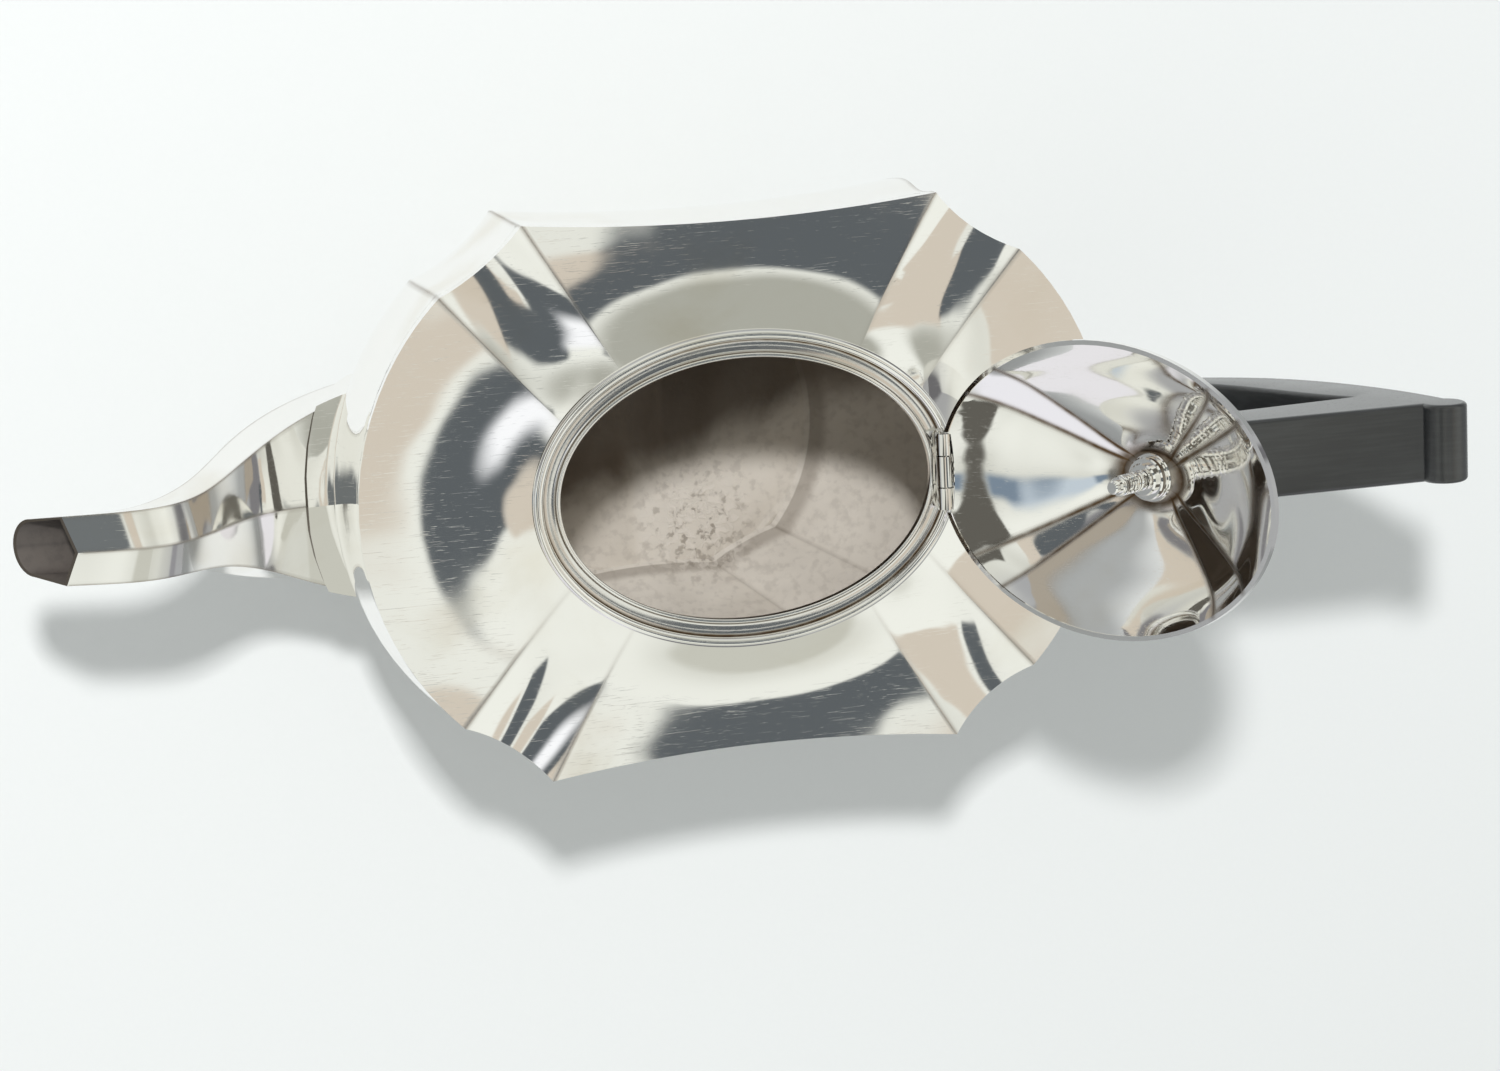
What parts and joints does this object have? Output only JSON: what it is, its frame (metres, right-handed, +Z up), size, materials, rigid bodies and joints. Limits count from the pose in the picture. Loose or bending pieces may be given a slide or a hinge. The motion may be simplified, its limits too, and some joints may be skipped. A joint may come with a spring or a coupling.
{
  "type": "silver teapot",
  "caption": "Oval panelled silver teapot with a swan-neck spout, angular black handle and hinged domed lid with a turned finial, for brewing and pouring tea.",
  "frame": {"origin": "centre of the foot on the table, below the middle of the pot's overall length", "axes": "+Z up, -X towards the spout, +X towards the handle, +Y to the right of someone who holds the handle and faces the spout"},
  "size_m": [0.28, 0.1086, 0.154],
  "materials": {
    "silver": "polished silver with fine wear",
    "ebonised": "satin ebonised hardwood"
  },
  "bodies": {
    "pot": {"body_shell": "silver", "base_plate": "silver", "foot_rim": "silver", "shoulder": "silver", "mouth_collar": "silver", "spout": "silver", "spout_foot": "silver", "hinge_bracket": "silver", "hinge_pin": "silver", "handle_grip": "ebonised", "upper_handle_socket": "silver", "lower_handle_socket": "silver", "upper_handle_pin": "silver", "lower_handle_pin": "silver"},
    "lid": {"lid_shell": "silver", "lid_knuckle": "silver", "finial_base": "silver", "finial_knob": "ebonised", "finial_stud": "silver", "finial_washer": "silver", "finial_nut": "silver"}
  },
  "joints": [
    {"name": "lid_hinge", "type": "hinge", "parent": "pot", "child": "lid", "pos_m": [0.0395, 0, 0.0852], "axis": [0, 1, 0], "range_deg": [-121, 0]}
  ]
}
